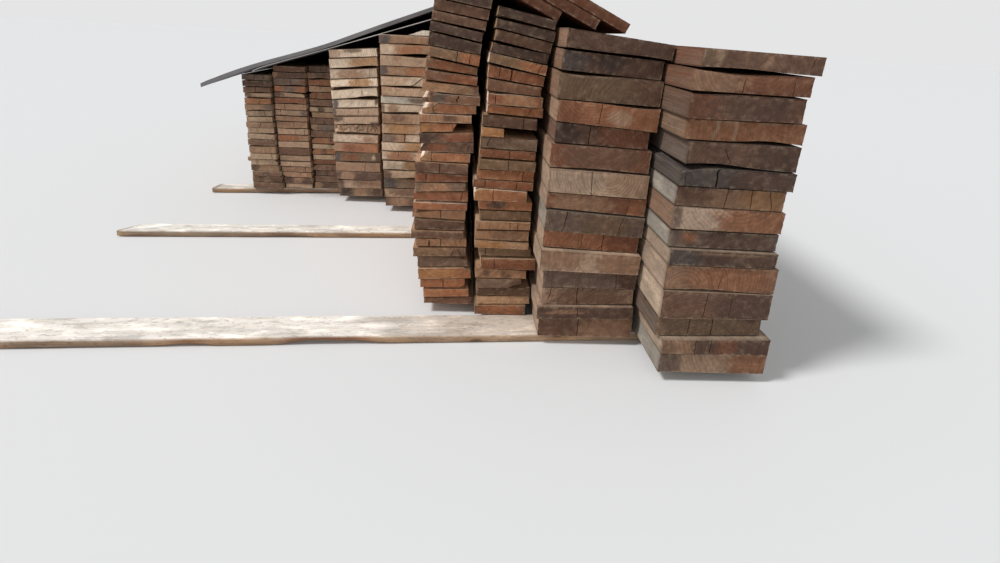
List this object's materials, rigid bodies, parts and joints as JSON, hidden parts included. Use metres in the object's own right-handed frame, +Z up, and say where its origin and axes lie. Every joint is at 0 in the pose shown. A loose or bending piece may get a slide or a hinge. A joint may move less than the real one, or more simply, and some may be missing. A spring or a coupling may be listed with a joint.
{
  "type": "stack of lumber",
  "caption": "Yard stack of rough-sawn boards in upright columns on flat bearers, with loose boards and thin cover sheets lying on top.",
  "frame": {"origin": "middle of the stack's footprint, on the ground under the bearers", "axes": "+X to the right along the front of the stack, +Y back along the boards, +Z up"},
  "size_m": [2.0936, 4.725, 0.8912],
  "materials": {
    "boards": "matte",
    "pale_boards": "matte",
    "bearers": "matte",
    "cover": "matte"
  },
  "bodies": {
    "root": {"bearer_1": "bearers", "bearer_2": "bearers", "bearer_3": "bearers", "bearer_4": "bearers", "bearer_5": "bearers", "bearer_6": "bearers", "column_1_boards": "boards", "column_2_boards": "boards", "column_3_boards": "boards", "column_4_boards": "pale_boards", "column_5_boards": "pale_boards", "column_6_boards": "boards", "column_7_boards": "boards", "column_8_boards": "boards", "column_9_boards": "boards", "loose_board_1": "boards", "loose_board_2": "boards", "loose_board_3": "boards", "edging_strip": "pale_boards", "cover_sheet_lower": "cover", "cover_sheet_upper": "cover"}
  },
  "joints": []
}
